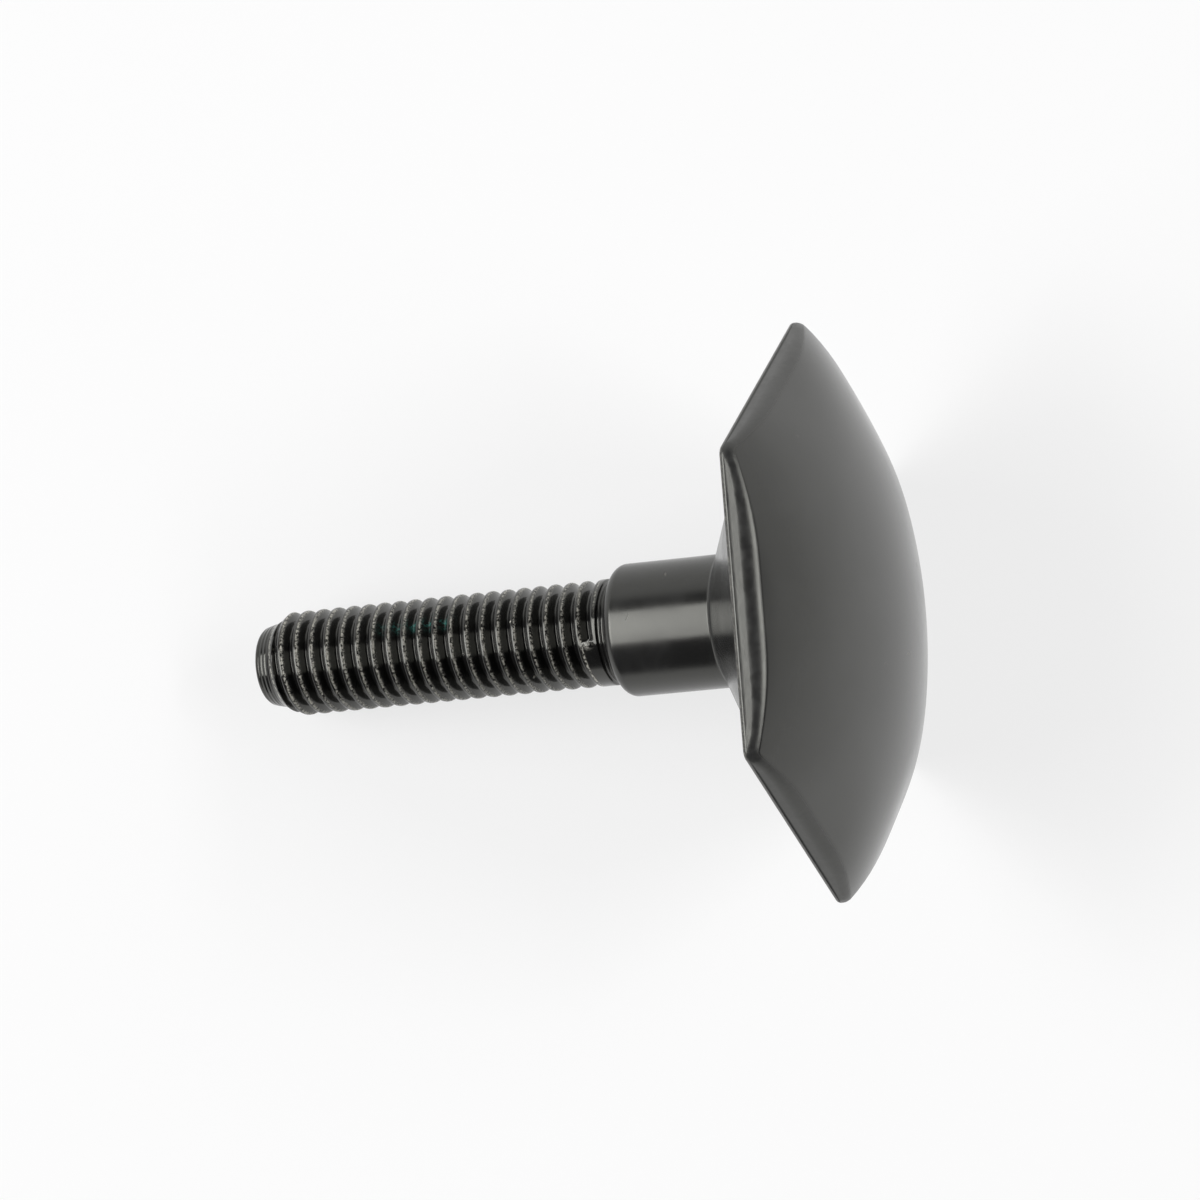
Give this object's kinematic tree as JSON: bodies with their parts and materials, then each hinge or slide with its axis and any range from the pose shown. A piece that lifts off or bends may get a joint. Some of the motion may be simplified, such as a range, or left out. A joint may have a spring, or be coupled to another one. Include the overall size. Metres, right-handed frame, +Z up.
{
  "type": "leveling leg",
  "caption": "Moulded plastic leveling leg: a threaded stud and round collar on a shallow cone and a hexagonal foot with a domed sole.",
  "frame": {"origin": "on the surface that the lying leg rests on, under the middle of its box", "axes": "+Z up, +X from the stud's tip to the foot; the leg's own axis lies in the XZ plane and climbs from tip to foot at about 19.3 degrees"},
  "size_m": [0.0502, 0.0418, 0.0349],
  "materials": {
    "black_plastic": "moulded black plastic, glossy on the stud and collar, a little softer on the foot"
  },
  "bodies": {
    "root": {"leveling_leg": "black_plastic"}
  },
  "joints": []
}
